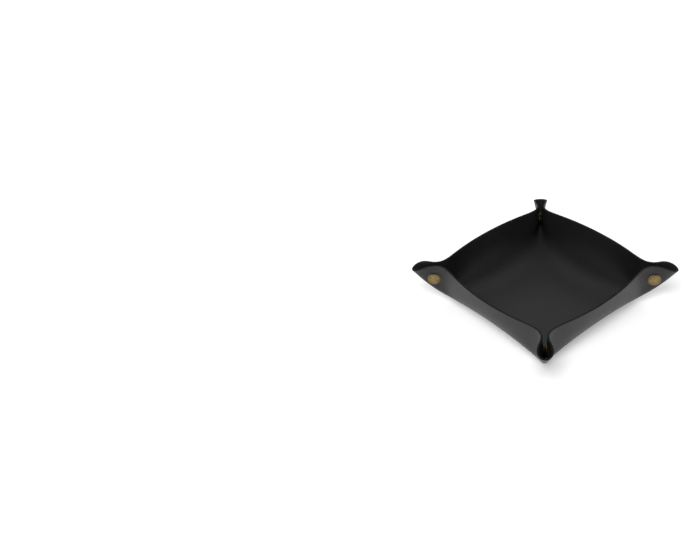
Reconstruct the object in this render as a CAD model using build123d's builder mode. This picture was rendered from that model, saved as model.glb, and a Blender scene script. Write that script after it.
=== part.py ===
from build123d import *
import math
import os

# A snap-up valet tray: one square sheet of leather, pinched at its four corners by press snaps.
# The origin is in the middle of the floor, on its underside. +Z is up and the walls face X and Y.
os.makedirs("parts", exist_ok=True)

# Leather sheet as it stands, formed
leather_thick = 1.5
floor_half = 36.0        # middle of the tray to where the floor starts to rise
rim_half = 71.7          # middle of the tray to the rim, at the middle of a wall
rim_height = 45.2        # underside of the floor to the rim
ear_point = 125.8        # middle of the tray to where a corner's fold would meet the rim
corner_radius = 25.0     # of the sheet's round corners
ear_fold_slope = 49.0    # degrees, of the fold under an ear's tip
ear_trim_reach = 15.0    # how far the corner trimming reaches to each side of a fold
rim_dip_run = 15.0       # over which the rim dips from the walls to an ear

# Place of a snap, in the fold's upright plane
snap_in = 4.1            # from the middle of the ear's round corner, towards the tray
snap_drop = 16.3         # from the rim down

# Caps with their tube posts
cap_radius = 6.25
cap_height = 2.1
cap_edge = 0.7           # height of the rolled edge
cap_roll = 0.25          # radius of the edge's rounding
post_radius = 1.7
post_bore_radius = 1.2
post_head_radius = 1.95
post_head_height = 0.4
post_clearance = 0.1     # round the post, in the leather and in the two halves' floors

# Socket, the female half
socket_radius = 5.9
socket_foot_radius = 5.3
socket_height = 2.4
socket_floor = 0.4
socket_lip = 0.4
socket_edge = 0.7        # radius of the rolled front edge
mouth_radius = 3.0
chamber_radius = 3.9

# Split ring in the socket
ring_wire_radius = 0.2
ring_hug = 0.05          # between the ring and the nipple's neck
ring_lift = 0.05         # between the ring and the lip
ring_opening = 40.0      # degrees

# Stud, the male half
stud_radius = 5.2
stud_rim_height = 0.6
stud_rim_width = 0.8
stud_floor = 0.4
nipple_neck_radius = 2.7
nipple_bulb_radius = 2.9
nipple_top_radius = 2.45
nipple_bore_radius = 2.1
nipple_height = 2.15
bulb_low = 1.7           # leather to where the bulb begins
bulb_high = 1.85         # leather to where the bulb ends

# Closed snap
closed_clearance = 0.15  # between the socket's face and the stud's rim
seat_margin = 0.4        # of the leather pressed flat round a cap
overrun = 4.0            # of cuts past what they cut

snap_gap = socket_height + closed_clearance + stud_rim_height
seat = snap_gap / 2
half_gap = seat + leather_thick / 2
rim_rise = rim_height - leather_thick / 2

# Shape of the sheet's middle layer, level by level from the floor to above the rim.
# rise_shares: height, as a share of the rim's.
# lean_angles: mean slope of the leather there, in degrees.
# wall_shares and fold_shares: way from the floor's edge to the rim, and to the ear's point.
# bow_shares: how far the wall bulges where it nears the corner, as a share of rim_half.
# bow_place_shares: where along the wall's half that is.
# turn_shares: the bulge where the wall turns into the ear, as a share of rim_half.
# side_shares: way from that turn to the fold, of the point on the ear's side.
# turn_gap_shares and side_gap_shares: distance from the fold's plane, as a share of half_gap.
rise_shares = (0, 0.0225, 0.056, 0.113, 0.225, 0.338, 0.45, 0.62, 0.79, 0.957, 1.126)
lean_angles = (2, 9, 15, 24, 39, 49, 54, 60, 65, 67, 67)
wall_shares = (0, 0.2325, 0.384, 0.524, 0.686, 0.786, 0.8555, 0.923, 0.9636, 0.993, 1.011)
fold_shares = (0, 0.153, 0.287, 0.4254, 0.5958, 0.6919, 0.7609, 0.8463, 0.9204, 0.991, 1.058)
bow_shares = (-0.067, -0.038, -0.0149, 0.0068, 0.028, 0.0282, 0.0148, -0.0095, -0.026, -0.0352, -0.042)
bow_place_shares = (0.5, 0.55, 0.6, 0.65, 0.68, 0.7, 0.7, 0.72, 0.75, 0.77, 0.77)
turn_shares = (-0.11, -0.08, -0.036, 0.0055, 0.0446, 0.043, 0.023, 0.002, 0.0063, 0.027, 0.05)
side_shares = (0.9, 0.88, 0.88, 0.86, 0.81, 0.76, 0.78, 0.75, 0.745, 0.74, 0.73)
turn_gap_shares = (1.2, 1.64, 2.0, 2.33, 2.58, 2.33, 1.97, 1.25, 1.06, 1.15, 1.2)
side_gap_shares = (0.4, 0.54, 0.67, 0.8, 0.93, 0.91, 0.88, 1.02, 1.55, 2.1, 2.67)
levels = range(len(rise_shares))

# Where the points of a corner's curve lie along it, from one wall's middle to the next wall's
curve_shares = (0, 0.31, 0.395, 0.4625, 0.5, 0.5375, 0.605, 0.69, 1)

# Height of an ear's rim, as a share of the walls'
ear_rim_share = 0.973

# Round corner of an ear: the arc's middle lies one radius below the ear's rim, above the fold
ear_rim = leather_thick / 2 + rim_rise * ear_rim_share
arc_out = ear_point - corner_radius / math.tan(math.radians(ear_fold_slope))
snap_out = arc_out - snap_in
snap_height = rim_height - snap_drop

# The corners' names, and which way each lies along X and Y
corners = {"front": (-1, -1), "right": (1, -1), "back": (1, 1), "left": (-1, 1)}


def fold_point(out, gap):
    """A place in plan, given its distances along the fold and from the fold's plane."""
    return Vector((out + gap) / math.sqrt(2), (out - gap) / math.sqrt(2))


def corner_points(level):
    """One corner of the sheet's middle layer in plan, from one wall's middle to the next wall's."""
    wall = floor_half + (rim_half - floor_half) * wall_shares[level]
    fold = floor_half + (ear_point - floor_half) * fold_shares[level]
    turn_gap = half_gap * turn_gap_shares[level]
    turn_out = math.sqrt(2) * (wall + rim_half * turn_shares[level]) - turn_gap
    side_out = turn_out + (fold - turn_out) * side_shares[level]
    half = [
        Vector(wall, 0),
        Vector(wall + rim_half * bow_shares[level], wall * bow_place_shares[level]),
        fold_point(turn_out, turn_gap),
        fold_point(side_out, half_gap * side_gap_shares[level]),
    ]
    return half + [fold_point(fold, 0)] + [Vector(p.Y, p.X) for p in reversed(half)]


def corner_curve(points):
    """Smooth curve through one corner's points, square to the walls' middles at its ends."""
    ends = [Vector(0, 1), Vector(-1, 0)]
    return Edge.make_spline(points, tangents=ends, parameters=curve_shares)


def sheet_section(level, depth):
    """The sheet's outline at one level, depth inwards of its middle layer."""
    lean = math.radians(lean_angles[level])
    points = corner_points(level)
    middle = corner_curve(points)
    inward = [middle.tangent_at(p).rotate(Axis.Z, 90) for p in points]
    moved = [p + n * depth * math.sin(lean) for p, n in zip(points, inward)]
    rise = leather_thick / 2 + rim_rise * rise_shares[level] + depth * math.cos(lean)
    outline = Wire([corner_curve(moved).rotate(Axis.Z, turn) for turn in (0, 90, 180, 270)])
    return Face(outline).moved(Location((0, 0, rise)))


def fold_plane(side_x, side_y):
    """Upright plane through a corner's fold: local x runs outwards and local y up."""
    return Plane(origin=(0, 0, 0), x_dir=(side_x, side_y, 0), z_dir=(side_y, -side_x, 0))


def snap_plane(side_x, side_y):
    """Level plane at a snap's middle: local x runs outwards, local y from stud to socket."""
    reach = snap_out / math.sqrt(2)
    middle = (side_x * reach, side_y * reach, snap_height)
    return Plane(origin=middle, x_dir=(side_x, side_y, 0), z_dir=(0, 0, -side_x * side_y))


def snap_seat_plane(side_x, side_y, half, distance=0):
    """Plane across a snap's axis, at a distance from its middle, facing its socket (1) or stud (-1)."""
    middle = snap_plane(side_x, side_y)
    outward = middle.y_dir * half
    return Plane(origin=middle.origin + outward * distance, x_dir=middle.x_dir, z_dir=outward)


def all_seat_planes(distance=0):
    """The planes at a distance from every snap's middle, towards its socket and towards its stud."""
    sides = [(*corner, half) for corner in corners.values() for half in (-1, 1)]
    return [snap_seat_plane(*side, distance) for side in sides]


trim_start = arc_out - rim_dip_run
trim_end = ear_point + corner_radius
trim_top = rim_height + overrun
arc_past = math.degrees(overrun / corner_radius)

with BuildPart() as leather_sheet:
    loft(sections=[sheet_section(level, -leather_thick / 2) for level in levels])
    loft(sections=[sheet_section(level, leather_thick / 2) for level in levels], mode=Mode.SUBTRACT)
    split(bisect_by=Plane.XY.offset(rim_height), keep=Keep.BOTTOM)
    with BuildSketch(*[fold_plane(*corner) for corner in corners.values()]):
        with BuildLine():
            dip = Line((trim_start, rim_height), (arc_out, ear_rim))
            arc = CenterArc(
                (arc_out, ear_rim - corner_radius), corner_radius, 90, ear_fold_slope - 90 - arc_past
            )
            Polyline(
                arc @ 1,
                (trim_end, (arc @ 1).Y),
                (trim_end, trim_top),
                (trim_start, trim_top),
                dip @ 0,
            )
        make_face()
    extrude(amount=ear_trim_reach, both=True, mode=Mode.SUBTRACT)
    # Each snap clamps the leather flat between its cap and its other half
    with BuildSketch(*all_seat_planes()):
        Circle(cap_radius + seat_margin / 2)
    extrude(amount=seat + leather_thick + overrun, mode=Mode.SUBTRACT)
    with BuildSketch(*all_seat_planes(seat)):
        Circle(cap_radius + seat_margin)
        Circle(post_radius + post_clearance, mode=Mode.SUBTRACT)
    extrude(amount=leather_thick)
leather_sheet.part.label = "leather_sheet"
export_step(leather_sheet.part, "parts/leather_sheet.step")


def cap_piece(side_x, side_y, half, floor):
    """Domed cap, its tube post and the post's rolled head, which clamps the floor of a half.

    half is 1 on the socket's side of the snap and -1 on the stud's.
    """
    place = snap_plane(side_x, side_y)
    under = seat + leather_thick
    head = seat - floor
    with BuildPart() as piece:
        with BuildSketch(place):
            with BuildLine():
                dome = TangentArc(
                    (0, half * (under + cap_height)), (cap_radius, half * (under + cap_edge)), tangent=(1, 0)
                )
                Polyline(
                    dome @ 1,
                    (cap_radius, half * under),
                    (post_radius, half * under),
                    (post_radius, half * head),
                    (post_head_radius, half * head),
                    (post_head_radius, half * (head - post_head_height)),
                    (post_bore_radius, half * (head - post_head_height)),
                    (post_bore_radius, half * (under + cap_edge)),
                    (0, half * (under + cap_edge)),
                    dome @ 0,
                )
            make_face()
        revolve(axis=Axis(place.origin, place.y_dir))
        fillet(piece.edges().group_by(SortBy.LENGTH)[-1], cap_roll)
    return piece.part


def socket_piece(side_x, side_y):
    """Ring-shaped shell: its foot lies on the leather and its mouth faces the stud."""
    place = snap_plane(side_x, side_y)
    face = seat - socket_height
    belly = seat - socket_floor
    with BuildPart() as piece:
        with BuildSketch(place):
            with BuildLine():
                Polyline(
                    (post_radius + post_clearance, seat),
                    (socket_foot_radius, seat),
                    (socket_radius, belly),
                    (socket_radius, face + socket_edge),
                )
                RadiusArc(
                    (socket_radius, face + socket_edge), (socket_radius - socket_edge, face), socket_edge
                )
                Polyline(
                    (socket_radius - socket_edge, face),
                    (mouth_radius, face),
                    (mouth_radius, face + socket_lip),
                    (chamber_radius, face + socket_lip),
                    (chamber_radius, belly),
                    (post_radius + post_clearance, belly),
                    (post_radius + post_clearance, seat),
                )
            make_face()
        revolve(axis=Axis(place.origin, place.y_dir))
    return piece.part


def ring_piece(side_x, side_y):
    """Split ring of wire that lies on the socket's lip and hugs the nipple's neck."""
    ring_radius = nipple_neck_radius + ring_hug + ring_wire_radius
    lie = seat - socket_height + socket_lip + ring_lift + ring_wire_radius
    level = snap_seat_plane(side_x, side_y, 1, lie)
    with BuildPart() as piece:
        with BuildLine(level):
            wire = CenterArc((0, 0), ring_radius, ring_opening / 2, 360 - ring_opening)
        with BuildSketch(Plane(origin=wire @ 0, z_dir=wire % 0)):
            Circle(ring_wire_radius)
        sweep()
    return piece.part


def stud_piece(side_x, side_y):
    """Rimmed flange with a hollow nipple, whose bulb holds behind the socket's ring."""
    place = snap_plane(side_x, side_y)
    with BuildPart() as piece:
        with BuildSketch(place):
            with BuildLine():
                Polyline(
                    (post_radius + post_clearance, -seat),
                    (stud_radius, -seat),
                    (stud_radius, -seat + stud_rim_height),
                    (stud_radius - stud_rim_width, -seat + stud_rim_height),
                    (stud_radius - stud_rim_width, -seat + stud_floor),
                    (nipple_neck_radius, -seat + stud_floor),
                    (nipple_neck_radius, -seat + bulb_low - (nipple_bulb_radius - nipple_neck_radius)),
                    (nipple_bulb_radius, -seat + bulb_low),
                    (nipple_bulb_radius, -seat + bulb_high),
                    (nipple_top_radius, -seat + nipple_height),
                    (nipple_bore_radius, -seat + nipple_height),
                    (nipple_bore_radius, -seat + stud_floor),
                    (post_radius + post_clearance, -seat + stud_floor),
                    (post_radius + post_clearance, -seat),
                )
            make_face()
        revolve(axis=Axis(place.origin, place.y_dir))
    return piece.part


# Five pieces at each corner
for corner, (side_x, side_y) in corners.items():
    pieces = {
        "socket_cap": cap_piece(side_x, side_y, 1, socket_floor),
        "socket": socket_piece(side_x, side_y),
        "socket_spring": ring_piece(side_x, side_y),
        "stud": stud_piece(side_x, side_y),
        "stud_cap": cap_piece(side_x, side_y, -1, stud_floor),
    }
    for kind, piece in pieces.items():
        piece.label = corner + "_" + kind
        export_step(piece, "parts/" + piece.label + ".step")
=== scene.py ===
import math

import bmesh
import bpy
import numpy as np
from mathutils import Matrix, Quaternion, Vector


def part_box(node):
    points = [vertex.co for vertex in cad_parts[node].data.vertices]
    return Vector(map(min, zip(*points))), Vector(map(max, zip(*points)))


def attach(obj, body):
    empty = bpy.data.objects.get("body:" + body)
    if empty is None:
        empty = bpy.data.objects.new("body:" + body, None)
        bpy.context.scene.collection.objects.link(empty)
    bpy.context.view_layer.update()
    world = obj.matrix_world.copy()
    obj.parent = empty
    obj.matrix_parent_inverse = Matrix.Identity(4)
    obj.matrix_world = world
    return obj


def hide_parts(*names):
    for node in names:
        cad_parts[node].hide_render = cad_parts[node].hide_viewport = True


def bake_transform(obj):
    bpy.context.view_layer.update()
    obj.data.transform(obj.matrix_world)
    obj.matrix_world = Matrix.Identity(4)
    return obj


# A snap-up valet tray of black leather, with an antique brass press snap at each corner.
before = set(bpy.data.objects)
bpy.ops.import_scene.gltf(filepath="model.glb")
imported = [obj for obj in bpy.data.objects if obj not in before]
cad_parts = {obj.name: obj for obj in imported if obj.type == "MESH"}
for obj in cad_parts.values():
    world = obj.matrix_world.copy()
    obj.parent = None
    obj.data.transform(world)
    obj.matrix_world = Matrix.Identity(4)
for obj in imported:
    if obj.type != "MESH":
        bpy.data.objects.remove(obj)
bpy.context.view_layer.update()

MM = 0.001
CORNERS = {"front": (-1, -1), "right": (1, -1), "back": (1, 1), "left": (-1, 1)}

# The leather's flat cut
SHEET_HALF = 100.4 * MM
CORNER_RADIUS = 25.0 * MM
LEATHER_THICK = 1.5 * MM
EDGE_ROUND = 0.3 * MM
EDGE_STEPS = 2             # faces across a rounded edge
CUT_EDGE_ANGLE = 60.0      # degrees, from which an edge is a cut one and is rounded
SNAP_FROM_NEAR_EDGE = 15.0 * MM
SNAP_FROM_FAR_EDGE = 29.9 * MM
GRID = 160                 # faces along each side of the sheet

# What the leather's shape is weighed by as it folds, on lengths in millimetres
STRETCH = 70.0             # against bending, for the leather's way of folding
BEND = 8.0
WEIGHT = 1.3e-5
FLOOR_PRESS = 3e-4         # on the floor's middle, flattened by what has lain in the tray
PRESSED_HALF = 45.0 * MM
FLOOR_HOLD = 1.0
PINCH_HOLD = 5.0
PLACE_HOLD = 50.0
OFFCUT = 0.03              # stiffness left to the cut-off corners, so that the sheet's edge stays fair
OFFCUT_MARGIN = 0.3        # of a grid step, outside the round corner
NO_LENGTH = 1e-12

# How the fold is found: a shallow bowl first, then finer and finer grids
BOWL_FLAT = 30.0           # millimetres, the radius of the bowl's flat middle
BOWL_RISE = 0.003
FIRST_POINTS = 26          # along each side of the quarter
FIRST_GAP = 20.0           # millimetres between a snap's halves as they start to close
CLOSING_MOVES = 5
CLOSING_STEPS = 200
CLOSED_STEPS = 600
FINER_GRIDS = ((51, 900, 900), (81, 900, 500))
FIRST_MOVE = 0.01
REMEMBERED = 20            # moves
ENOUGH_FALL = 1e-4         # of the fall that the slope promises
LEAST_REACH = 1e-6
LEAST_CURVE = 1e-14

# Where an ear's leather is cut off from the sheet
FOLD_WAY = 1.3 * MM        # from the fold's plane to each side
WALL_WAY = 31.0 * MM       # down the wall, from the socket's seat
WALL_WAY_RISE = 22.0       # degrees
BEFORE_FOLD = 1.0          # how much of each way the faces that may be cut lie before it
BEFORE_WALL = 0.1
ON_CUT = 0.001 * MM        # how near a point is to a cut that it lies in
ONE_POINT = 0.05 * MM      # points this close, where two cuts meet, are one
FOLD_STRIPS = 6            # across the fold
MEETING_CUTS = ({0, 2}, {1, 3})                  # numbers in ear_cuts

# Press snaps
CAP_RADIUS = 6.25 * MM
CAP_HEIGHT = 2.1 * MM
CAP_ROLL = 0.35 * MM
CAP_EDGE_HEIGHT = 0.75 * MM
POST_RADIUS = 1.7 * MM
POST_BORE = 1.2 * MM
POST_HEAD = 1.95 * MM
HEAD_UPRIGHT = 0.3 * MM
HEAD_BEVEL = 0.2 * MM
BORE_BEVEL = 0.15 * MM
POST_ROOM = 0.1 * MM
SOCKET_RADIUS = 5.9 * MM
SOCKET_FOOT = 5.3 * MM
SOCKET_HEIGHT = 2.4 * MM
SOCKET_ROLL = 0.7 * MM
FOOT_FLARE = 0.25 * MM
FOOT_RISE = 0.15 * MM
GROOVE_RADIUS = 4.45 * MM
GROOVE_HALF = 0.15 * MM
GROOVE_DEPTH = 0.12 * MM
MOUTH_RADIUS = 3.0 * MM
MOUTH_LIP = 0.3 * MM
CHAMBER_RADIUS = 3.9 * MM
STUD_RADIUS = 5.2 * MM
STUD_RIM = 0.8 * MM
STUD_RIM_HEIGHT = 0.6 * MM
SMALL_BEVEL = 0.1 * MM
NIPPLE_NECK = 2.7 * MM
NIPPLE_FOOT = 0.25 * MM
NECK_HEIGHT = 1.45 * MM
NIPPLE_BULB = 2.9 * MM
BULB_ROUND = 0.3 * MM
BULB_HEIGHT = 1.8 * MM
NIPPLE_TOP = 2.45 * MM
TOP_BEVEL = 0.05 * MM
NIPPLE_BORE = 2.1 * MM
NIPPLE_HEIGHT = 2.15 * MM
CLOSED_GAP = 0.15 * MM
METAL = 0.4 * MM
WIRE = 0.2 * MM
WIRE_ROOM = 0.05 * MM
WIRE_SPLIT = 40.0          # degrees
ROUND_FACES = 72           # round a snap
DOME_FACES = 14            # from the crown to the edge
RIM_FACES = 10
ARC_FACES = 8
WIRE_SIDES = 14
WIRE_FACES = 56            # along the ring
SHARP_ANGLE = 40.0         # degrees, from which an edge of the brass looks sharp
WELD = 0.001 * MM

SEAT = (SOCKET_HEIGHT + CLOSED_GAP + STUD_RIM_HEIGHT) / 2
HALF_GAP = SEAT + LEATHER_THICK / 2

# Finishes
PEBBLE = 0.6               # millimetres
LEATHER_DARK = (0.0088, 0.0089, 0.0093)
LEATHER_LIGHT = (0.0117, 0.0118, 0.0123)
# The darker colour of the painted shade in the grain's creases
LEATHER_CREASE_SHADE = (0.005, 0.005, 0.0052)
EDGE_DARK = (0.003, 0.003, 0.003)
EDGE_LIGHT = (0.006, 0.006, 0.006)
BRASS_DARK = (0.055, 0.038, 0.018)
BRASS_WORN = (0.20, 0.145, 0.065)
BRASS_BRIGHT = (0.40, 0.30, 0.14)
WHITE = (1, 1, 1, 1)

# Stage and light, in metres and watts
FLOOR_COLOUR = 0.85
FLOOR_LIFT = 0.34
LIFT_NEAR = 0.13           # from the tray's middle, where the floor starts to turn plain white
LIFT_FAR = 0.45
FLOOR_HALF = 6.0
BACKDROP_HEIGHT = 2.2
BACKDROP_FACES = 64
WORLD_LIGHT = 0.1
LIT_POINT = (0, 0, 0.02)
SOFTBOX_PLACE = (-0.6, -0.38, 0.97)
SOFTBOX_SIZE = 0.6
SOFTBOX_WATTS = 12.5
PANEL_PLACE = (0.55, 0.55, 1.3)
PANEL_SIZE = 2.0
PANEL_WATTS = 9.0

# The photograph's view, with angles in degrees
VIEW_AZIMUTH = 46.99
VIEW_ELEVATION = 39.31
VIEW_DISTANCE = 733.5 * MM
AIM_ASIDE = 8.534
AIM_DOWN = 1.299
AIM_TILT = 1.694
LENS = 39.479              # millimetres, as the sensor's width is
SENSOR = 36.0
VIEW_SHIFT = -0.11
NEAREST_SEEN = 0.01
FARTHEST_SEEN = 50

# What mirroring at the tray's two middle planes does to a place
FLIP_X = np.array([-1, 1, 1])
FLIP_Y = np.array([1, -1, 1])


def snap_place(corner):
    """The middle of a corner's closed snap and its axis, from the stud to the socket."""
    boxes = [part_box(f"{corner}_{half}_cap") for half in ("socket", "stud")]
    low = Vector([min(box[0][i] for box in boxes) for i in range(3)])
    high = Vector([max(box[1][i] for box in boxes) for i in range(3)])
    side_x, side_y = CORNERS[corner]
    return (low + high) / 2, Vector((side_x, -side_y, 0)).normalized()


def new_object(name, data):
    obj = bpy.data.objects.new(name, data)
    bpy.context.collection.objects.link(obj)
    return obj


def new_mesh(bm, name, materials):
    """The mesh that a bmesh has become, with its materials; the bmesh is freed."""
    mesh = bpy.data.meshes.new(name)
    bm.to_mesh(mesh)
    bm.free()
    for material in materials:
        mesh.materials.append(material)
    return mesh


# Node helpers

def new_material(name):
    """A material with its nodes and its shader."""
    material = bpy.data.materials.new(name)
    material.use_nodes = True
    tree = material.node_tree
    return material, tree, tree.nodes["Principled BSDF"]


def fill(tree, made, inputs):
    """Gives a node's inputs a plain value each, or another node's output."""
    for key, value in inputs.items():
        if isinstance(value, bpy.types.NodeSocket):
            tree.links.new(value, made.inputs[key])
        else:
            made.inputs[key].default_value = value


def node(tree, kind, inputs=None, **settings):
    """A new node with its settings and inputs."""
    made = tree.nodes.new(kind)
    for key, value in settings.items():
        setattr(made, key, value)
    fill(tree, made, inputs or {})
    return made


def reckoned(tree, operation, *values, **settings):
    """What a Math node makes of its values."""
    inputs = dict(enumerate(values))
    return node(tree, "ShaderNodeMath", inputs, operation=operation, **settings).outputs[0]


def vector_reckoned(tree, operation, *values):
    """What a Vector Math node makes of its vectors."""
    return node(tree, "ShaderNodeVectorMath", dict(enumerate(values)), operation=operation).outputs[0]


def noise(tree, place, scale, detail):
    return node(tree, "ShaderNodeTexNoise", {"Vector": place, "Scale": scale, "Detail": detail})


def mapped(tree, value, given, wanted):
    """A value brought from the given range to the wanted one."""
    ends = {"From Min": given[0], "From Max": given[1], "To Min": wanted[0], "To Max": wanted[1]}
    return node(tree, "ShaderNodeMapRange", {"Value": value, **ends}).outputs["Result"]


def ramp(tree, value, stops):
    """Colours or grey levels by a value, from (value, colour or level) stops."""
    made = node(tree, "ShaderNodeValToRGB", {"Fac": value})
    band = made.color_ramp
    while len(band.elements) < len(stops):
        band.elements.new(0.5)
    for element, (place, level) in zip(band.elements, stops):
        colour = level if isinstance(level, tuple) else (level, level, level)
        element.position = place
        element.color = (*colour, 1)
    return made.outputs["Color"]


def bumped(tree, height, strength, depth):
    inputs = {"Height": height, "Strength": strength, "Distance": depth}
    return node(tree, "ShaderNodeBump", inputs).outputs["Normal"]


# Finishes

def leather_grain_group():
    """Fine pebbled grain: height, and a mask of its creases for the painted shade in them, on flat
    coordinates in millimetres.
    """
    group = bpy.data.node_groups.new("leather_grain", "ShaderNodeTree")
    group.interface.new_socket("Flat", in_out="INPUT", socket_type="NodeSocketVector")
    group.interface.new_socket("Pebble Size", in_out="INPUT", socket_type="NodeSocketFloat")
    group.interface.new_socket("Height", in_out="OUTPUT", socket_type="NodeSocketFloat")
    group.interface.new_socket("Crease Shade", in_out="OUTPUT", socket_type="NodeSocketFloat")
    given = group.nodes.new("NodeGroupInput")
    out = group.nodes.new("NodeGroupOutput")
    flat = given.outputs["Flat"]
    half = (0.5, 0.5, 0.5)
    warp = noise(group, flat, 0.9, 2.0).outputs["Color"]
    moved = vector_reckoned(
        group, "MULTIPLY_ADD", vector_reckoned(group, "SUBTRACT", warp, half), half, flat
    )
    per_mm = reckoned(group, "DIVIDE", 1.0, given.outputs["Pebble Size"])
    cells = node(
        group, "ShaderNodeTexVoronoi",
        {"Vector": moved, "Scale": per_mm, "Smoothness": 0.35, "Randomness": 0.9},
        feature="SMOOTH_F1", voronoi_dimensions="2D",
    )
    pebble = mapped(group, cells.outputs["Distance"], (0.15, 0.75), (1.0, 0.0))
    fine = noise(group, flat, 3.2, 4.0).outputs["Fac"]
    fill(group, out, {
        "Height": reckoned(group, "MULTIPLY_ADD", fine, 0.35, pebble),
        # The creases' mask is for painted shade; the height is the grain's bump
        "Crease Shade": mapped(group, pebble, (0.0, 0.35), (1.0, 0.0)),
    })
    return group


def leather_material(grain):
    """Black leather with a low sheen; its grain lies on the flat cut and folds with it, and painted shade
    darkens the grain's creases.
    """
    material, tree, shader = new_material("black_leather")
    flat = node(tree, "ShaderNodeUVMap", uv_map="flat")
    across = 2 * SHEET_HALF / MM
    in_mm = vector_reckoned(tree, "MULTIPLY", flat.outputs["UV"], (across, across, 1))
    pebbles = node(tree, "ShaderNodeGroup", {"Flat": in_mm, "Pebble Size": PEBBLE}, node_tree=grain)
    cloud = noise(tree, in_mm, 0.035, 3.0).outputs["Fac"]
    tone = ramp(tree, cloud, [(0.3, LEATHER_DARK), (0.7, LEATHER_LIGHT)])
    # Painted shade: the creases between the pebbles are darkened
    crease_shaded = node(
        tree, "ShaderNodeMixRGB",
        {"Color1": tone, "Color2": (*LEATHER_CREASE_SHADE, 1), "Fac": pebbles.outputs["Crease Shade"]},
    )
    fill(tree, shader, {
        "Base Color": crease_shaded.outputs["Color"],
        "Roughness": ramp(tree, cloud, [(0.3, 0.48), (0.7, 0.54)]),
        "Specular IOR Level": 0.45,
        "Normal": bumped(tree, pebbles.outputs["Height"], 0.35, 0.04 * MM),
    })
    return material


def edge_material():
    """The cut and burnished edge of the leather."""
    material, tree, shader = new_material("cut_edge")
    place = node(tree, "ShaderNodeTexCoord").outputs["Object"]
    fibre = noise(tree, place, 1500.0, 4.0).outputs["Fac"]
    fill(tree, shader, {
        "Base Color": ramp(tree, fibre, [(0.35, EDGE_DARK), (0.7, EDGE_LIGHT)]),
        "Roughness": 0.7,
        "Specular IOR Level": 0.25,
        "Normal": bumped(tree, fibre, 0.3, 0.1 * MM),
    })
    return material


def brass_material():
    """Antique brass: dark in the hollows and rubbed bright where the attribute says so."""
    material, tree, shader = new_material("antique_brass")
    place = node(tree, "ShaderNodeTexCoord").outputs["Object"]
    rubbed = node(tree, "ShaderNodeAttribute", attribute_name="rubbed").outputs["Fac"]
    blotch = noise(tree, place, 700.0, 5.0).outputs["Fac"]
    spread = reckoned(tree, "MULTIPLY_ADD", blotch, 0.9, -0.45)
    worn = reckoned(tree, "ADD", rubbed, spread, use_clamp=True)
    fill(tree, shader, {
        "Base Color": ramp(tree, worn, [(0.0, BRASS_DARK), (0.5, BRASS_WORN), (1.0, BRASS_BRIGHT)]),
        "Roughness": ramp(tree, worn, [(0.0, 0.55), (1.0, 0.3)]),
        "Metallic": 1.0,
        "Normal": bumped(tree, blotch, 0.25, 0.05 * MM),
    })
    return material


# How the leather folds

def settle(energy, start, steps):
    """Follows the energy down from start, in steps that learn its curvature from the last few moves."""
    place = start
    level, slope = energy(place)
    moves = []
    for _ in range(steps):
        way = -slope
        shares = []
        for move, change in reversed(moves):
            share = (move * way).sum() / (move * change).sum()
            way = way - share * change
            shares.append(share)
        if moves:
            move, change = moves[-1]
            way = way * (move * change).sum() / (change * change).sum()
        else:
            way = way * FIRST_MOVE / np.abs(slope).max()
        for (move, change), share in zip(moves, reversed(shares)):
            way = way + (share - (change * way).sum() / (move * change).sum()) * move
        fall = (way * slope).sum()
        if fall > 0:
            moves = []
            continue
        reach = 1.0
        while True:
            next_level, next_slope = energy(place + reach * way)
            if next_level <= level + ENOUGH_FALL * reach * fall or reach < LEAST_REACH:
                break
            reach *= 0.5
        move, change = reach * way, next_slope - slope
        place, level, slope = place + move, next_level, next_slope
        if (move * change).sum() > LEAST_CURVE:
            moves = (moves + [(move, change)])[-REMEMBERED:]
    return place


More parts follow.
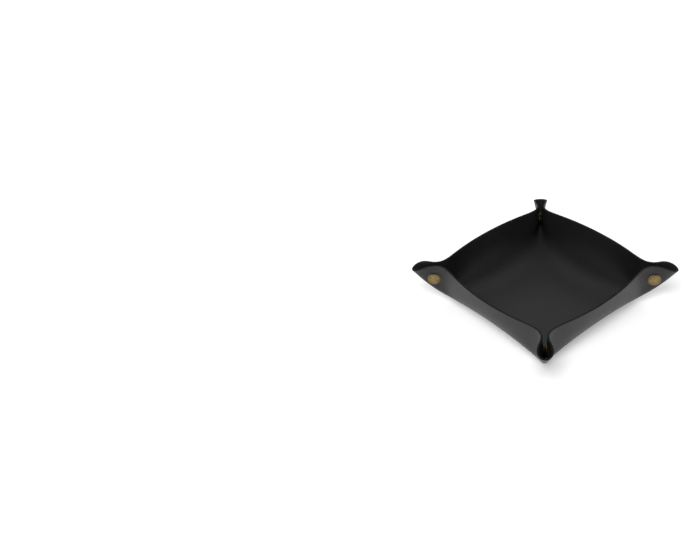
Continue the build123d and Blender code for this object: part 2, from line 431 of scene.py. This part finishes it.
class QuarterSheet:
    """A quarter of the sheet on a square grid, in millimetres, mirrored at the tray's middle planes."""

    def __init__(self, count, snap_out, snap_rise):
        self.side = SHEET_HALF / MM
        self.count = count
        self.step = self.side / (count - 1)
        self.snap_out = snap_out
        self.snap_rise = snap_rise
        self.place_hold = PLACE_HOLD
        line = np.linspace(0, self.side, count)
        self.flat_x, self.flat_y = np.meshgrid(line, line, indexing="ij")
        radius = CORNER_RADIUS / MM
        past_x = np.maximum(self.flat_x - self.side + radius, 0)
        past_y = np.maximum(self.flat_y - self.side + radius, 0)
        cut = np.hypot(past_x, past_y) > radius + OFFCUT_MARGIN * self.step
        self.stuff = np.where(cut, OFFCUT, 1.0)
        self.area = self.step**2 * self.stuff
        pressed = np.maximum(self.flat_x, self.flat_y) < PRESSED_HALF / MM
        self.load = WEIGHT + FLOOR_PRESS * pressed
        near, far = self.side - SNAP_FROM_NEAR_EDGE / MM, self.side - SNAP_FROM_FAR_EDGE / MM
        reach = CAP_RADIUS / MM
        self.seats = [
            np.hypot(self.flat_x - near, self.flat_y - far) <= reach,
            np.hypot(self.flat_x - far, self.flat_y - near) <= reach,
        ]
        step = self.step
        self.pulls = [
            self.pull([(1, 0, 1), (0, 0, -1)], STRETCH * step**2, step),
            self.pull([(0, 1, 1), (0, 0, -1)], STRETCH * step**2, step),
            self.pull([(1, 1, 1), (0, 0, -1)], STRETCH * step**2 / 2, step * math.sqrt(2)),
            self.pull([(1, 0, 1), (0, 1, -1)], STRETCH * step**2 / 2, step * math.sqrt(2)),
            self.pull([(2, 0, 1), (1, 0, -2), (0, 0, 1)], BEND / step**2, 0),
            self.pull([(0, 2, 1), (0, 1, -2), (0, 0, 1)], BEND / step**2, 0),
            self.pull([(1, 1, 1), (1, 0, -1), (0, 1, -1), (0, 0, 1)], 2 * BEND / step**2, 0),
        ]

    def pull(self, parts, stiffness, rest):
        """One kind of spring: its neighbours, its stiffness, and its rest length, or 0 for bending."""
        stuff = np.pad(self.stuff, ((1, 0), (1, 0)), mode="reflect")
        rows, columns = (max(part[k] for part in parts) for k in (0, 1))
        last = self.count + 1
        windows = [
            ((slice(i, last - rows + i), slice(j, last - columns + j)), factor) for i, j, factor in parts
        ]
        weight = np.minimum.reduce([stuff[window] for window, _ in windows])
        return windows, stiffness * weight, rest

    def energy(self, place, gap):
        """Energy of a shape and its slope, with the two seats of a snap gap apart."""
        count, root_half = self.count, math.sqrt(0.5)
        wide = np.empty((count + 1, count + 1, 3))
        wide[1:, 1:] = place
        wide[0, 1:] = place[1] * FLIP_X
        wide[1:, 0] = place[:, 1] * FLIP_Y
        wide[0, 0] = place[1, 1] * FLIP_X * FLIP_Y
        force, total = np.zeros_like(wide), 0.0
        for windows, weight, rest in self.pulls:
            span = sum(factor * wide[window] for window, factor in windows)
            if rest:
                length = np.sqrt((span * span).sum(-1)) + NO_LENGTH
                strain = length / rest - 1
                total += (weight * strain**2).sum() / 2
                pull = (weight * strain / (rest * length))[..., None] * span
            else:
                pull = weight[..., None] * span
                total += (pull * span).sum() / 2
            for window, factor in windows:
                force[window] += factor * pull
        slope = force[1:, 1:].copy()
        slope[1] += force[0, 1:] * FLIP_X
        slope[:, 1] += force[1:, 0] * FLIP_Y
        slope[1, 1] += force[0, 0] * FLIP_X * FLIP_Y
        # The leather's weight, and the floor under it
        rise = place[..., 2]
        sunk = np.minimum(rise, 0)
        total += (self.area * (self.load * rise + FLOOR_HOLD * sunk**2 / 2)).sum()
        slope[..., 2] += self.area * (self.load + FLOOR_HOLD * sunk)
        # Each seat stays on its half of the snap, and each wall on its side of the fold
        aside = (place[..., 0] - place[..., 1]) * root_half
        out = (place[..., 0] + place[..., 1]) * root_half
        for seat, sign, half in (
            (self.seats[0], 1, self.flat_x >= self.flat_y),
            (self.seats[1], -1, self.flat_x <= self.flat_y),
        ):
            off = (sign * aside - gap / 2) * seat + np.minimum(sign * aside, 0) * half
            total += PINCH_HOLD * self.step**2 * (off**2).sum() / 2
            push = PINCH_HOLD * self.step**2 * sign * off * root_half
            slope[..., 0] += push
            slope[..., 1] -= push
            points = seat.sum()
            off_out = out[seat].mean() - self.snap_out
            off_rise = rise[seat].mean() - self.snap_rise
            total += self.place_hold * (off_out**2 + off_rise**2) / 2
            slope[seat, :2] += self.place_hold * off_out * root_half / points
            slope[seat, 2] += self.place_hold * off_rise / points
        # The middle planes don't move
        slope[0, :, 0] = 0
        slope[:, 0, 1] = 0
        return total, slope

    def fold(self, place, gap, steps):
        return settle(lambda shape: self.energy(shape, gap), place, steps)


def between(values, places, flip):
    """Smooth values at places along the first axis of a grid that is mirrored at its start."""
    first, last = values[1:2] * flip, 2 * values[-1:] - values[-2:-1]
    points = np.concatenate([first, values, last])
    at = np.minimum(places.astype(int), len(values) - 2)
    part = (places - at).reshape(-1, *[1] * (values.ndim - 1))
    a, b, c, d = (points[at + k] for k in range(4))
    return b + part / 2 * (c - a + part * (2 * a - 5 * b + 4 * c - d + part * (3 * (b - c) + d - a)))


def refined(place, count):
    """A formed quarter on a grid with more points."""
    places = np.linspace(0, len(place) - 1, count)
    rows = between(place, places, FLIP_X)
    return between(rows.swapaxes(0, 1), places, FLIP_Y).swapaxes(0, 1)


def folded_quarter():
    """The formed quarter, let go from a shallow bowl while its snap closes."""
    middle, _ = snap_place("back")
    snap_out, snap_rise = middle.xy.length / MM, (middle.z - LEATHER_THICK / 2) / MM
    closed = 2 * HALF_GAP / MM
    sheet = QuarterSheet(FIRST_POINTS, snap_out, snap_rise)
    past_flat = np.maximum(np.hypot(sheet.flat_x, sheet.flat_y) - BOWL_FLAT, 0)
    place = np.stack([sheet.flat_x, sheet.flat_y, BOWL_RISE * past_flat**2], -1)
    sheet.place_hold = 0
    for gap in np.linspace(FIRST_GAP, closed, CLOSING_MOVES):
        place = sheet.fold(place, gap, CLOSING_STEPS)
    sheet.place_hold = PLACE_HOLD
    place = sheet.fold(place, closed, CLOSED_STEPS)
    for count, steps, quick_steps in FINER_GRIDS:
        sheet = QuarterSheet(count, snap_out, snap_rise)
        place = sheet.fold(refined(place, count), closed, steps)
    return place


def sampled(place, flat_x, flat_y):
    """Where points of the flat quarter lie on the formed one; all lengths in metres."""
    step = SHEET_HALF / (len(place) - 1)
    wide = np.concatenate([place[1:2] * FLIP_X, place, 2 * place[-1:] - place[-2:-1]])
    wide = np.concatenate([wide[:, 1:2] * FLIP_Y, wide, 2 * wide[:, -1:] - wide[:, -2:-1]], axis=1)

    def weights(at):
        """The grid cell that each point lies in, and the shares of the four points about it."""
        cell = np.clip(at.astype(int), 0, len(place) - 2)
        t = at - cell
        return cell, np.stack([
            -t + 2 * t**2 - t**3, 2 - 5 * t**2 + 3 * t**3, t + 4 * t**2 - 3 * t**3, t**3 - t**2
        ]) / 2

    row, row_share = weights(flat_x / step)
    column, column_share = weights(flat_y / step)
    total = 0
    for i in range(4):
        for j in range(4):
            total = total + (row_share[i] * column_share[j])[:, None] * wide[row + i, column + j]
    return total * MM


def rounded(flat):
    """Draws the square grid's corners in to the sheet's round ones."""
    past = np.clip((np.abs(flat) - SHEET_HALF + CORNER_RADIUS) / CORNER_RADIUS, 0, 1)
    drawn = past * np.sqrt(1 - past[:, ::-1] ** 2 / 2)
    inner = np.minimum(np.abs(flat), SHEET_HALF - CORNER_RADIUS)
    return np.sign(flat) * (inner + CORNER_RADIUS * drawn)


def flat_sheet(materials):
    """The flat cut as a mesh that keeps its flat coordinates, and those coordinates in metres."""
    bm = bmesh.new()
    bmesh.ops.create_grid(bm, x_segments=GRID, y_segments=GRID, size=SHEET_HALF)
    mesh = new_mesh(bm, "leather", materials)
    points = np.empty(len(mesh.vertices) * 3)
    mesh.vertices.foreach_get("co", points)
    flat = rounded(points.reshape(-1, 3)[:, :2])
    loop_vertex = np.empty(len(mesh.loops), dtype=int)
    mesh.loops.foreach_get("vertex_index", loop_vertex)
    layer = mesh.uv_layers.new(name="flat")
    layer.data.foreach_set("uv", (flat[loop_vertex] / (2 * SHEET_HALF) + 0.5).ravel())
    return mesh, flat


def apply_modifiers(obj):
    bpy.context.view_layer.update()
    evaluated = obj.evaluated_get(bpy.context.evaluated_depsgraph_get())
    mesh = bpy.data.meshes.new_from_object(evaluated)
    obj.modifiers.clear()
    obj.data = mesh


def leather_body(materials):
    """The whole sheet, formed and with its thickness, as one closed mesh."""
    mesh, flat = flat_sheet(materials)
    formed = sampled(folded_quarter(), np.abs(flat[:, 0]), np.abs(flat[:, 1]))
    formed[:, :2] *= np.where(flat < 0, -1, 1)
    formed[:, 2] = np.maximum(formed[:, 2], 0) + LEATHER_THICK / 2
    mesh.vertices.foreach_set("co", formed.ravel())
    body = new_object("leather", mesh)
    thick = body.modifiers.new("thickness", "SOLIDIFY")
    thick.thickness = LEATHER_THICK
    thick.offset = 0
    thick.use_even_offset = True
    thick.material_offset_rim = 1
    edge = body.modifiers.new("edge", "BEVEL")
    edge.limit_method = "ANGLE"
    edge.angle_limit = math.radians(CUT_EDGE_ANGLE)
    edge.width = EDGE_ROUND
    edge.segments = EDGE_STEPS
    apply_modifiers(body)
    body.data.polygons.foreach_set("use_smooth", [True] * len(body.data.polygons))
    return body


# Where the ears are cut off

def ear_ways(corner):
    """The ways from leather that stays to the ear's leather: over the fold, up the wall."""
    middle, axis = snap_place(corner)
    seat = middle + axis * (SEAT + LEATHER_THICK / 2)
    rise = math.radians(WALL_WAY_RISE)
    up = Vector((0, CORNERS[corner][1] * math.cos(rise), math.sin(rise)))
    wall_end = seat - up * CAP_RADIUS
    return (middle - axis * FOLD_WAY, middle + axis * FOLD_WAY), (wall_end - up * WALL_WAY, wall_end)


def way_slope(way):
    """How fast the share that is gone grows along a way."""
    start, end = way
    return (end - start) / (end - start).length_squared


def gone(way, point):
    """How far along a way a point lies, as a share."""
    return (point - way[0]).dot(way_slope(way))


def ear_cuts(corner):
    """Planes, as a point and a normal, round the ear's leather and between its two ways."""
    fold, wall = ear_ways(corner)
    over, up = way_slope(fold), way_slope(wall)
    even = over - up
    level = fold[0].dot(over) - wall[0].dot(up)
    return [(fold[0], over), (fold[1], over), (wall[0], up), (even * level / even.length_squared, even)]


def cuts_at(vertex, cuts):
    """The numbers of the cuts that a vertex lies in."""
    return {
        number for number, (point, normal) in enumerate(cuts)
        if abs((vertex.co - point).dot(normal)) < 2 * ON_CUT * normal.length
    }


def in_corner(point, corner):
    side_x, side_y = CORNERS[corner]
    return point.x * side_x > 0 and point.y * side_y > 0


def of_kind(items, kind):
    return [item for item in items if isinstance(item, kind)]


def with_corners(faces):
    """Faces with their edges and vertices, as a cut takes them."""
    edges = {edge for face in faces for edge in face.edges}
    vertices = {vertex for face in faces for vertex in face.verts}
    return [*faces, *edges, *vertices]


def cut_across(bm, geometry, point, normal):
    """Cuts faces where they cross a plane, and returns the cut geometry."""
    cut = bmesh.ops.bisect_plane(bm, geom=geometry, dist=ON_CUT, plane_co=point, plane_no=normal)
    return cut["geom"]


def cut_ear(bm, corner, part, over_fold, up_wall):
    """Cuts the leather of one ear, writes its two pieces' numbers, and parts the fold into strips."""
    fold, wall = ear_ways(corner)
    cuts = ear_cuts(corner)
    near = []
    for face in bm.faces:
        middle = face.calc_center_median()
        if in_corner(middle, corner):
            if gone(fold, middle) > -BEFORE_FOLD and gone(wall, middle) > -BEFORE_WALL:
                near.append(face)
    geometry = with_corners(near)
    for point, normal in cuts:
        geometry = cut_across(bm, geometry, point, normal)
    # Where two cuts meet at a slant, they leave points too near to each other
    for pair in MEETING_CUTS:
        shared = [v for v in of_kind(geometry, bmesh.types.BMVert) if pair <= cuts_at(v, cuts)]
        bmesh.ops.remove_doubles(bm, verts=shared, dist=ONE_POINT)
        geometry = [item for item in geometry if item.is_valid]
    strip = []
    for face in of_kind(geometry, bmesh.types.BMFace):
        middle = face.calc_center_median()
        over, up = gone(fold, middle), gone(wall, middle)
        if min(over, up) > 0 and over < min(up, 1):
            face[part] = over_fold
            strip.append(face)
        elif min(over, up) > 0:
            face[part] = up_wall
    strip = with_corners(strip)
    for k in range(1, FOLD_STRIPS):
        strip = cut_across(bm, strip, fold[0].lerp(fold[1], k / FOLD_STRIPS), way_slope(fold))


def close_cuts(bm, corner):
    """Fills a piece's open cuts at one corner with flat faces."""
    cuts = ear_cuts(corner)
    rim = [edge for edge in bm.edges if edge.is_boundary]
    rim = [edge for edge in rim if all(in_corner(vertex.co, corner) for vertex in edge.verts)]
    planes = {vertex: cuts_at(vertex, cuts) for edge in rim for vertex in edge.verts}
    # Where two cuts meet inside the leather, one edge through its thickness parts their faces
    for pair in MEETING_CUTS:
        ends = [vertex for vertex in planes if pair <= planes[vertex]]
        if len(ends) == 2:
            rim.append(bm.edges.new(ends))
    for number in range(len(cuts)):
        loop = [edge for edge in rim if all(number in planes[vertex] for vertex in edge.verts)]
        if len(loop) > 2:
            made = bmesh.ops.triangle_fill(bm, use_beauty=True, use_dissolve=False, edges=loop)
            for face in of_kind(made["geom"], bmesh.types.BMFace):
                face.material_index = 1
                face.smooth = True


def leather_piece(whole, wanted, corners, name, materials):
    """One part of the cut sheet as an object of its own, with the whole sheet's shading."""
    bm = whole.copy()
    part = bm.faces.layers.int["part"]
    shading = bm.verts.layers.float_vector["shading"]
    others = [face for face in bm.faces if face[part] != wanted]
    bmesh.ops.delete(bm, geom=others, context="FACES")
    for corner in corners:
        close_cuts(bm, corner)
    bmesh.ops.recalc_face_normals(bm, faces=bm.faces)
    normals = [vertex[shading].normalized() for vertex in bm.verts]
    bm.verts.layers.float_vector.remove(shading)
    bm.faces.layers.int.remove(part)
    mesh = new_mesh(bm, name, materials)
    mesh.normals_split_custom_set_from_vertices(normals)
    return new_object(name, mesh)


def cut_leather(body):
    """Cuts the formed sheet at its ears' ways: the main piece and the ears'."""
    bm = bmesh.new()
    bm.from_mesh(body.data)
    shading = bm.verts.layers.float_vector.new("shading")
    for vertex in bm.verts:
        vertex[shading] = vertex.normal
    part = bm.faces.layers.int.new("part")
    for k, corner in enumerate(CORNERS):
        cut_ear(bm, corner, part, 2 * k + 1, 2 * k + 2)
    materials = list(body.data.materials)
    bpy.data.objects.remove(body)
    main = leather_piece(bm, 0, CORNERS, "leather", materials)
    stays = [face for face in bm.faces if not face[part]]
    bmesh.ops.delete(bm, geom=stays, context="FACES")
    pieces = []
    for k, corner in enumerate(CORNERS):
        for number, kind, way in zip((2 * k + 1, 2 * k + 2), ("fold", "wall"), ear_ways(corner)):
            piece = leather_piece(bm, number, [corner], f"{corner}_ear_{kind}", materials)
            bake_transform(piece)
            pieces.append(piece)
    bm.free()
    return main, pieces


# Snaps

def arc_points(centre, radius, start, end, steps):
    """Points of an arc in a profile, angles in degrees from the outward radius."""
    angles = [math.radians(start + (end - start) * k / steps) for k in range(steps + 1)]
    return [(centre[0] + radius * math.cos(a), centre[1] + radius * math.sin(a)) for a in angles]


def put_on_axis(bm, place, axis):
    """Moves what stands on the origin along Z to a place, along an axis."""
    turn = axis.to_track_quat("Z", "Y").to_matrix().to_4x4()
    bmesh.ops.transform(bm, matrix=Matrix.Translation(place) @ turn, verts=bm.verts)


def brass_piece(bm, name, material):
    mesh = new_mesh(bm, name, [material])
    mesh.polygons.foreach_set("use_smooth", [True] * len(mesh.polygons))
    mesh.set_sharp_from_angle(angle=math.radians(SHARP_ANGLE))
    return new_object(name, mesh)


def turned(name, profile, place, axis, material, closed=True):
    """Turns a profile of (radius, height, rubbed) points about axis; heights count from place."""
    bm = bmesh.new()
    rub = bm.verts.layers.float.new("rubbed")
    ring = []
    for radius, height, worn in profile:
        vertex = bm.verts.new((radius, 0, height))
        vertex[rub] = worn
        ring.append(vertex)
    edges = [bm.edges.new(pair) for pair in zip(ring, ring[1:])]
    if closed:
        edges.append(bm.edges.new((ring[-1], ring[0])))
    bmesh.ops.spin(
        bm, geom=ring + edges, cent=(0, 0, 0), axis=(0, 0, 1), angle=2 * math.pi, steps=ROUND_FACES,
        use_merge=True,
    )
    bmesh.ops.remove_doubles(bm, verts=bm.verts, dist=WELD)
    bmesh.ops.recalc_face_normals(bm, faces=bm.faces)
    put_on_axis(bm, place, axis)
    return brass_piece(bm, name, material)


def cap_profile():
    """Domed cap with a rolled edge, from its crown to the leather, and its post down to the rolled head."""
    sag = CAP_HEIGHT - CAP_EDGE_HEIGHT
    reach = CAP_RADIUS - CAP_ROLL
    dome_radius = (reach**2 + sag**2) / (2 * sag)
    half_angle = math.degrees(math.asin(reach / dome_radius))
    dome = arc_points((0, CAP_HEIGHT - dome_radius), dome_radius, 90, 90 - half_angle, DOME_FACES)
    edge = arc_points((CAP_RADIUS - CAP_ROLL, CAP_ROLL), CAP_ROLL, 60, -90, ARC_FACES)
    head = -LEATHER_THICK - METAL
    post = [
        (POST_RADIUS, 0), (POST_RADIUS, head), (POST_HEAD, head), (POST_HEAD, head - HEAD_UPRIGHT),
        (POST_HEAD - HEAD_BEVEL, head - METAL), (POST_BORE + BORE_BEVEL, head - METAL),
        (POST_BORE, head - HEAD_UPRIGHT), (POST_BORE, CAP_EDGE_HEIGHT), (0, CAP_EDGE_HEIGHT),
    ]
    profile = [(max(r, 0), h, 0.62 - 0.25 * (r / reach) ** 2) for r, h in dome]
    profile += [(r, h, 0.55) for r, h in edge]
    return profile + [(r, h, 0.5) for r, h in post]


def socket_profile():
    """Ring-shaped shell from its foot on the leather to its rolled face; heights count from the leather."""
    hole = POST_RADIUS + POST_ROOM
    face = SOCKET_HEIGHT
    profile = [(hole, 0, 0.2), (SOCKET_FOOT, 0, 0.2), (SOCKET_FOOT + FOOT_FLARE, FOOT_RISE, 0.3)]
    profile += [(SOCKET_RADIUS, METAL, 0.0), (SOCKET_RADIUS, face - SOCKET_ROLL, 0.0)]
    edge = arc_points((SOCKET_RADIUS - SOCKET_ROLL, face - SOCKET_ROLL), SOCKET_ROLL, 10, 90, ARC_FACES)
    profile += [(r, h, 0.1 + 0.9 * k / ARC_FACES) for k, (r, h) in enumerate(edge)]
    profile += [
        (GROOVE_RADIUS + GROOVE_HALF, face, 0.55),
        (GROOVE_RADIUS, face - GROOVE_DEPTH, 0.1),
        (GROOVE_RADIUS - GROOVE_HALF, face, 0.55),
    ]
    lip = arc_points((MOUTH_RADIUS + MOUTH_LIP, face - MOUTH_LIP), MOUTH_LIP, 90, 270, ARC_FACES)
    profile += [(r, h, 0.5) for r, h in lip]
    profile += [(CHAMBER_RADIUS, face - METAL, 0.0), (CHAMBER_RADIUS, METAL, 0.0), (hole, METAL, 0.1)]
    return profile


def stud_profile():
    """Rimmed flange with a hollow nipple; heights count from the leather."""
    hole = POST_RADIUS + POST_ROOM
    rounding = STUD_RIM / 2
    rim = arc_points(
        (STUD_RADIUS - rounding, STUD_RIM_HEIGHT - rounding), rounding, 0, 180, RIM_FACES
    )
    bulb = arc_points((NIPPLE_BULB - BULB_ROUND, BULB_HEIGHT), BULB_ROUND, -40, 75, ARC_FACES)
    profile = [(hole, 0, 0.2), (STUD_RADIUS - SMALL_BEVEL, 0, 0.2), (STUD_RADIUS, SMALL_BEVEL, 0.3)]
    profile += [(r, h, 1.0) for r, h in rim]
    profile += [
        (STUD_RADIUS - STUD_RIM, METAL, 0.1), (NIPPLE_NECK + NIPPLE_FOOT, METAL, 0.1),
        (NIPPLE_NECK, METAL + NIPPLE_FOOT, 0.3), (NIPPLE_NECK, NECK_HEIGHT, 0.4),
    ]
    profile += [(r, h, 0.8) for r, h in bulb]
    profile += [
        (NIPPLE_TOP, NIPPLE_HEIGHT - TOP_BEVEL, 0.8), (NIPPLE_TOP - SMALL_BEVEL, NIPPLE_HEIGHT, 0.8),
        (NIPPLE_BORE + SMALL_BEVEL, NIPPLE_HEIGHT, 0.6), (NIPPLE_BORE, NIPPLE_HEIGHT - SMALL_BEVEL, 0.3),
        (NIPPLE_BORE, METAL, 0.0), (hole, METAL, 0.1),
    ]
    return profile


def split_ring(name, place, axis, material):
    """The split ring of wire on the socket's lip."""
    split = math.radians(WIRE_SPLIT)
    radius = NIPPLE_NECK + WIRE_ROOM + WIRE
    bm = bmesh.new()
    rub = bm.verts.layers.float.new("rubbed")
    bmesh.ops.create_circle(bm, cap_ends=True, segments=WIRE_SIDES, radius=WIRE)
    stand = Matrix.Rotation(split / 2, 4, "Z") @ Matrix.Translation((radius, 0, 0))
    bmesh.ops.transform(bm, matrix=stand @ Matrix.Rotation(math.radians(90), 4, "X"), verts=bm.verts)
    bmesh.ops.spin(
        bm, geom=bm.faces[:], cent=(0, 0, 0), axis=(0, 0, 1), angle=2 * math.pi - split, steps=WIRE_FACES
    )
    for vertex in bm.verts:
        vertex[rub] = 0.7
    bmesh.ops.recalc_face_normals(bm, faces=bm.faces)
    put_on_axis(bm, place, axis)
    return brass_piece(bm, name, material)


def closed_snap(corner, brass):
    """The five brass pieces of a corner, each on its body in place of its plain one."""
    middle, axis = snap_place(corner)
    moving = f"{corner}_socket_half"
    halves = (("socket", axis, moving, socket_profile()), ("stud", -axis, "root", stud_profile()))
    pieces = []
    for half, way, body, profile in halves:
        outside = middle + way * (SEAT + LEATHER_THICK)
        inside = middle + way * SEAT
        dome = turned(f"{corner}_{half}_dome", cap_profile(), outside, way, brass, closed=False)
        ring = turned(f"{corner}_{half}_ring", profile, inside, -way, brass)
        pieces += [(dome, f"{corner}_{half}_cap", body), (ring, f"{corner}_{half}", body)]
    lie = middle + axis * (SEAT - SOCKET_HEIGHT + METAL + WIRE_ROOM + WIRE)
    wire = split_ring(f"{corner}_split_ring", lie, axis, brass)
    pieces.append((wire, f"{corner}_socket_spring", moving))
    for piece, stands_for, body in pieces:
        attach(piece, body)
        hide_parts(stands_for)


# Stage, light and camera

def seen_directly(tree):
    """1 on rays that show the surroundings, in the view or in a reflection, and 0 on diffuse ones."""
    path = node(tree, "ShaderNodeLightPath").outputs
    seen = reckoned(tree, "MAXIMUM", path["Is Camera Ray"], path["Is Glossy Ray"])
    return reckoned(tree, "MAXIMUM", seen, path["Is Transmission Ray"])


def show(tree, output):
    tree.links.new(output, tree.nodes["Material Output"].inputs["Surface"])


def floor_material():
    """Pale floor, lifted to white where it is seen, so that only the tray's soft shadow is left."""
    material, tree, shader = new_material("pale_floor")
    fill(tree, shader, {"Base Color": (FLOOR_COLOUR, FLOOR_COLOUR, FLOOR_COLOUR, 1), "Roughness": 0.9})
    place = node(tree, "ShaderNodeTexCoord").outputs["Object"]
    away = node(tree, "ShaderNodeVectorMath", {0: place}, operation="LENGTH").outputs["Value"]
    share = mapped(tree, away, (LIFT_NEAR, LIFT_FAR), (FLOOR_LIFT, 1.0))
    lift = reckoned(tree, "MULTIPLY", seen_directly(tree), share)
    glow = node(tree, "ShaderNodeEmission", {"Color": WHITE, "Strength": lift})
    both = node(tree, "ShaderNodeAddShader", {0: shader.outputs[0], 1: glow.outputs[0]})
    show(tree, both.outputs[0])
    return material


def backdrop_material():
    """White where it is seen, and no light of its own on the tray."""
    material, tree, shader = new_material("white_backdrop")
    glow = node(tree, "ShaderNodeEmission", {"Color": WHITE, "Strength": seen_directly(tree)})
    show(tree, glow.outputs[0])
    tree.nodes.remove(shader)
    return material


def build_stage():
    floor = bmesh.new()
    bmesh.ops.create_grid(floor, x_segments=1, y_segments=1, size=FLOOR_HALF)
    backdrop = bmesh.new()
    bmesh.ops.create_cone(
        backdrop, cap_ends=False, segments=BACKDROP_FACES, radius1=FLOOR_HALF, radius2=FLOOR_HALF,
        depth=BACKDROP_HEIGHT,
    )
    bmesh.ops.translate(backdrop, vec=(0, 0, BACKDROP_HEIGHT / 2), verts=backdrop.verts)
    for bm, name, material in (
        (floor, "floor", floor_material()), (backdrop, "backdrop", backdrop_material())
    ):
        new_object(name, new_mesh(bm, name, [material]))


def area_light(name, place, size, watts):
    """A square lamp that points at the tray and isn't seen itself."""
    light = bpy.data.lights.new(name, "AREA")
    light.shape = "SQUARE"
    light.size = size
    light.energy = watts
    obj = new_object(name, light)
    obj.location = place
    obj.rotation_mode = "QUATERNION"
    obj.rotation_quaternion = (Vector(place) - Vector(LIT_POINT)).to_track_quat("Z", "Y")
    obj.visible_camera = False
    return obj


def build_light():
    world = bpy.data.worlds.new("studio")
    bpy.context.scene.world = world
    world.use_nodes = True
    sky = world.node_tree.nodes["Background"]
    fill(world.node_tree, sky, {"Color": WHITE, "Strength": WORLD_LIGHT})
    # The softbox lights the tray and its floor; the leather's sheen comes from the panel behind it
    softbox = area_light("softbox", SOFTBOX_PLACE, SOFTBOX_SIZE, SOFTBOX_WATTS)
    softbox.visible_glossy = False
    area_light("panel", PANEL_PLACE, PANEL_SIZE, PANEL_WATTS)


def build_camera():
    """The photograph's view: the tray's corner comes forward, right of the frame's middle."""
    azimuth, elevation = math.radians(VIEW_AZIMUTH), math.radians(VIEW_ELEVATION)
    level = math.cos(elevation)
    back = Vector((-level * math.sin(azimuth), -level * math.cos(azimuth), math.sin(elevation)))
    camera = bpy.data.cameras.new("camera")
    camera.sensor_width = SENSOR
    camera.lens = LENS
    camera.shift_x = VIEW_SHIFT
    camera.clip_start = NEAREST_SEEN
    camera.clip_end = FARTHEST_SEEN
    obj = new_object("camera", camera)
    obj.location = Vector((0, 0, LEATHER_THICK / 2)) + back * VIEW_DISTANCE
    obj.rotation_mode = "QUATERNION"
    aim = back.to_track_quat("Z", "Y")
    for axis, angle in (((0, 1, 0), AIM_ASIDE), ((1, 0, 0), AIM_DOWN), ((0, 0, 1), AIM_TILT)):
        aim = aim @ Quaternion(axis, math.radians(angle))
    obj.rotation_quaternion = aim
    bpy.context.scene.camera = obj


build_camera()
build_stage()
build_light()
bpy.context.scene.view_settings.view_transform = "Standard"

brass = brass_material()
for name in CORNERS:
    closed_snap(name, brass)

leather, ears = cut_leather(leather_body([leather_material(leather_grain_group()), edge_material()]))
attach(leather, "root")
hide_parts("leather_sheet")

bpy.context.view_layer.update()
